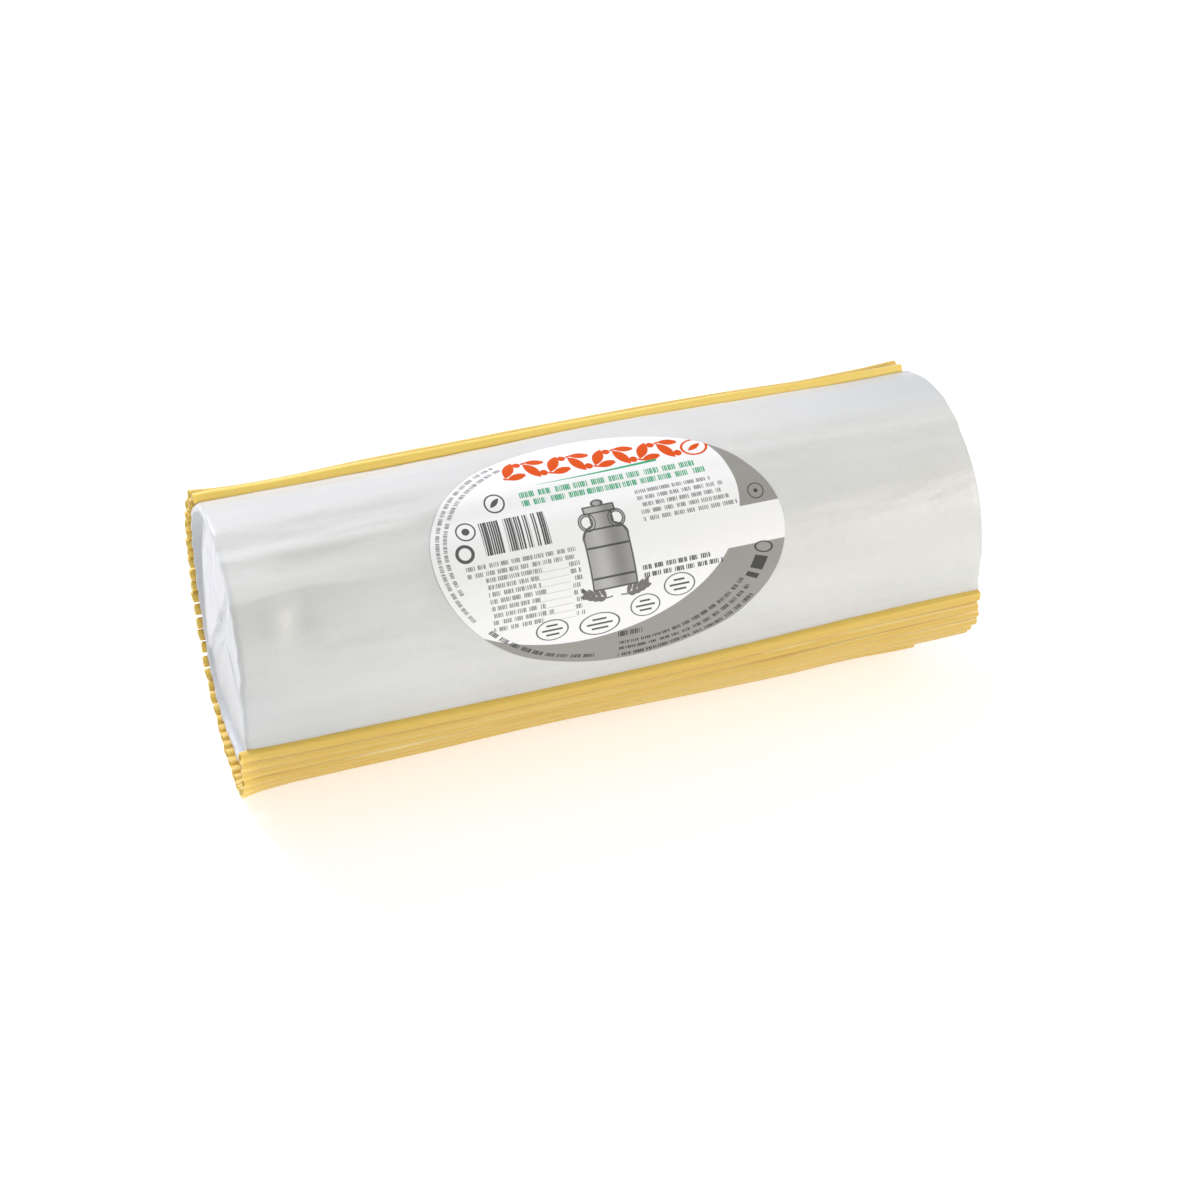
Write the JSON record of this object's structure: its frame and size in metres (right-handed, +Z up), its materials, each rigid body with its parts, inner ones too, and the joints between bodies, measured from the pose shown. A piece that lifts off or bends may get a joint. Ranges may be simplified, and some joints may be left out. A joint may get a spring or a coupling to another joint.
{
  "type": "bloomy rind cheese log in paper on a straw mat",
  "caption": "Long round log of soft cheese shut in white waxed paper, lying in a mat of lengthwise yellow straws, with an oval label on the bare paper.",
  "frame": {"origin": "bottom centre of the bounding box, on the surface that the log lies on", "axes": "+X along the log, -Y towards the side that carries the label, +Z up"},
  "size_m": [0.2208, 0.0818, 0.0797],
  "materials": {
    "paper": "satin waxed white paper, softly creased",
    "straw": "straw-yellow drinking-straw plastic with fine lengthwise lines",
    "label": "smooth white printed sticker with grey, orange and green fields"
  },
  "bodies": {
    "root": {"wrapped_log": "paper", "straw_01": "straw", "straw_02": "straw", "straw_03": "straw", "straw_04": "straw", "straw_05": "straw", "straw_06": "straw", "straw_07": "straw", "straw_08": "straw", "straw_09": "straw", "straw_10": "straw", "straw_11": "straw", "straw_12": "straw", "straw_13": "straw", "straw_14": "straw", "straw_15": "straw", "straw_16": "straw", "straw_17": "straw", "straw_18": "straw", "straw_19": "straw", "straw_20": "straw", "straw_21": "straw", "straw_22": "straw", "straw_23": "straw", "straw_24": "straw", "straw_25": "straw", "straw_26": "straw", "straw_27": "straw", "straw_28": "straw", "straw_29": "straw", "straw_30": "straw", "straw_31": "straw", "straw_32": "straw", "straw_33": "straw", "straw_34": "straw", "straw_35": "straw", "straw_36": "straw", "straw_37": "straw", "straw_38": "straw", "straw_39": "straw", "straw_40": "straw", "straw_41": "straw", "label": "label"}
  },
  "joints": []
}
